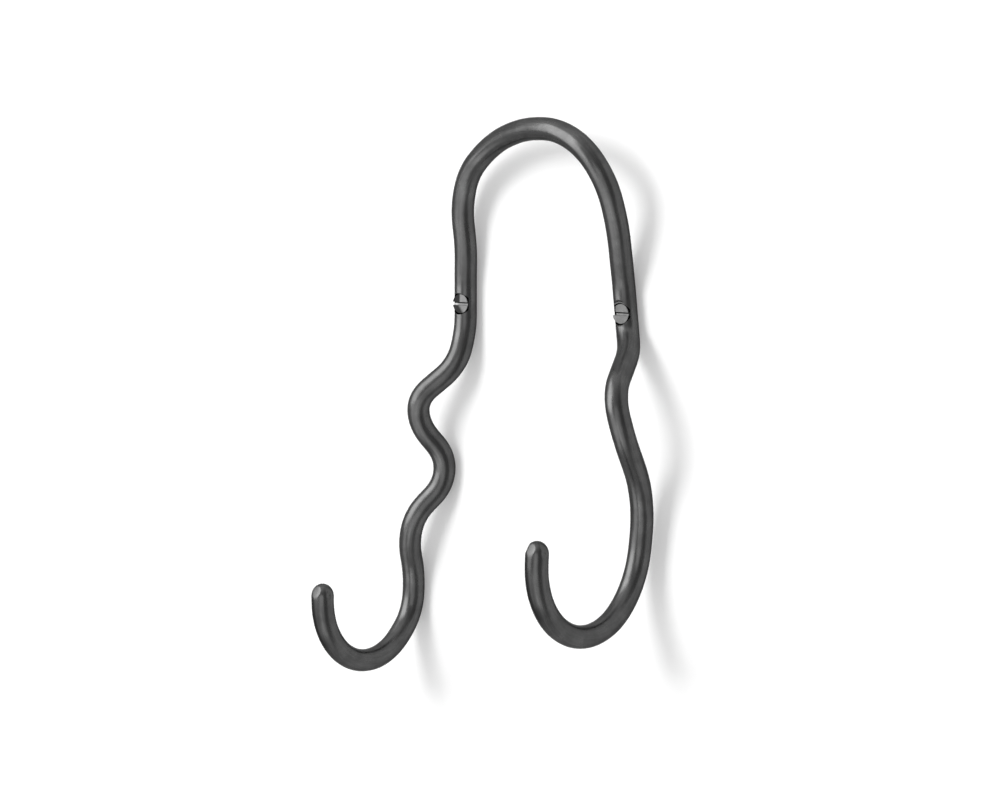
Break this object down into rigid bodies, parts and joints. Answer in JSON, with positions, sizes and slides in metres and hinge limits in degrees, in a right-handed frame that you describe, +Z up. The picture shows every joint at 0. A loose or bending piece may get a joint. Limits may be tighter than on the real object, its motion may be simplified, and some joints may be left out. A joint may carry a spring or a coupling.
{
  "type": "double wall hook",
  "caption": "Double wall hook bent from one round blackened rod: an arch over two wavy legs that end in open coat hooks, held by slotted countersunk wood screws.",
  "frame": {"origin": "on the wall plane, midway between the two wall screws", "axes": "+X to the right as seen from the room, +Y into the wall, +Z up, so the room is on the -Y side"},
  "size_m": [0.119, 0.0939, 0.199],
  "materials": {
    "blackened_brass": "chemically blackened, satin, lightly mottled",
    "screw_metal": "blackened, turned face, satin"
  },
  "bodies": {
    "root": {"rod": "blackened_brass", "screw_left": "screw_metal", "screw_right": "screw_metal"}
  },
  "joints": []
}
